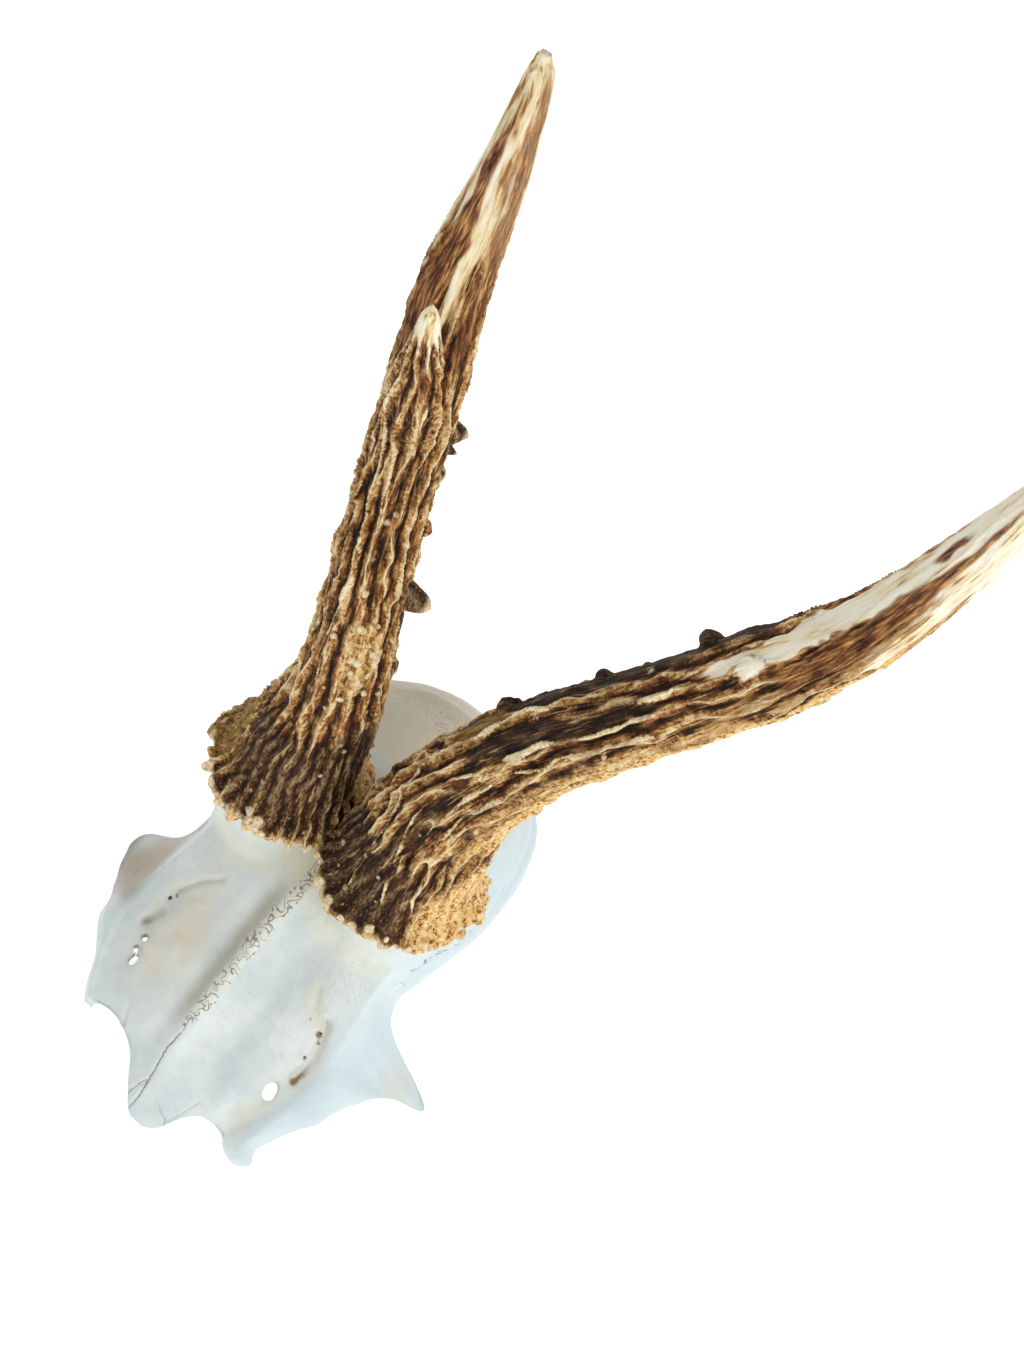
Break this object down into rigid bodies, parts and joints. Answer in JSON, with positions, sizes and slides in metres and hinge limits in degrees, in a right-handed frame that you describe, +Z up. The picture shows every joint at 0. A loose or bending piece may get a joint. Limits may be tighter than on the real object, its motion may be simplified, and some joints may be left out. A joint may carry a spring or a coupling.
{
  "type": "roe deer skull cap with antlers",
  "caption": "Sawn-off top of a roebuck's skull with both antlers, standing level on its flat saw cut.",
  "frame": {"origin": "middle of the flat sawn rim at the back of the skull cap, on the surface that the part rests on", "axes": "+Z up, along the antlers; the muzzle end points to -Y; the animal's left is +X"},
  "size_m": [0.1118, 0.1572, 0.2066],
  "materials": {
    "bone": "bleached bone, matt to faintly satin, cool white with brown nerve holes",
    "antler": "grown antler, dark brown grooves between tan and cream ridges, polished ivory tips"
  },
  "bodies": {
    "root": {"skull_cap": "bone", "right_antler": "antler", "left_antler": "antler"}
  },
  "joints": []
}
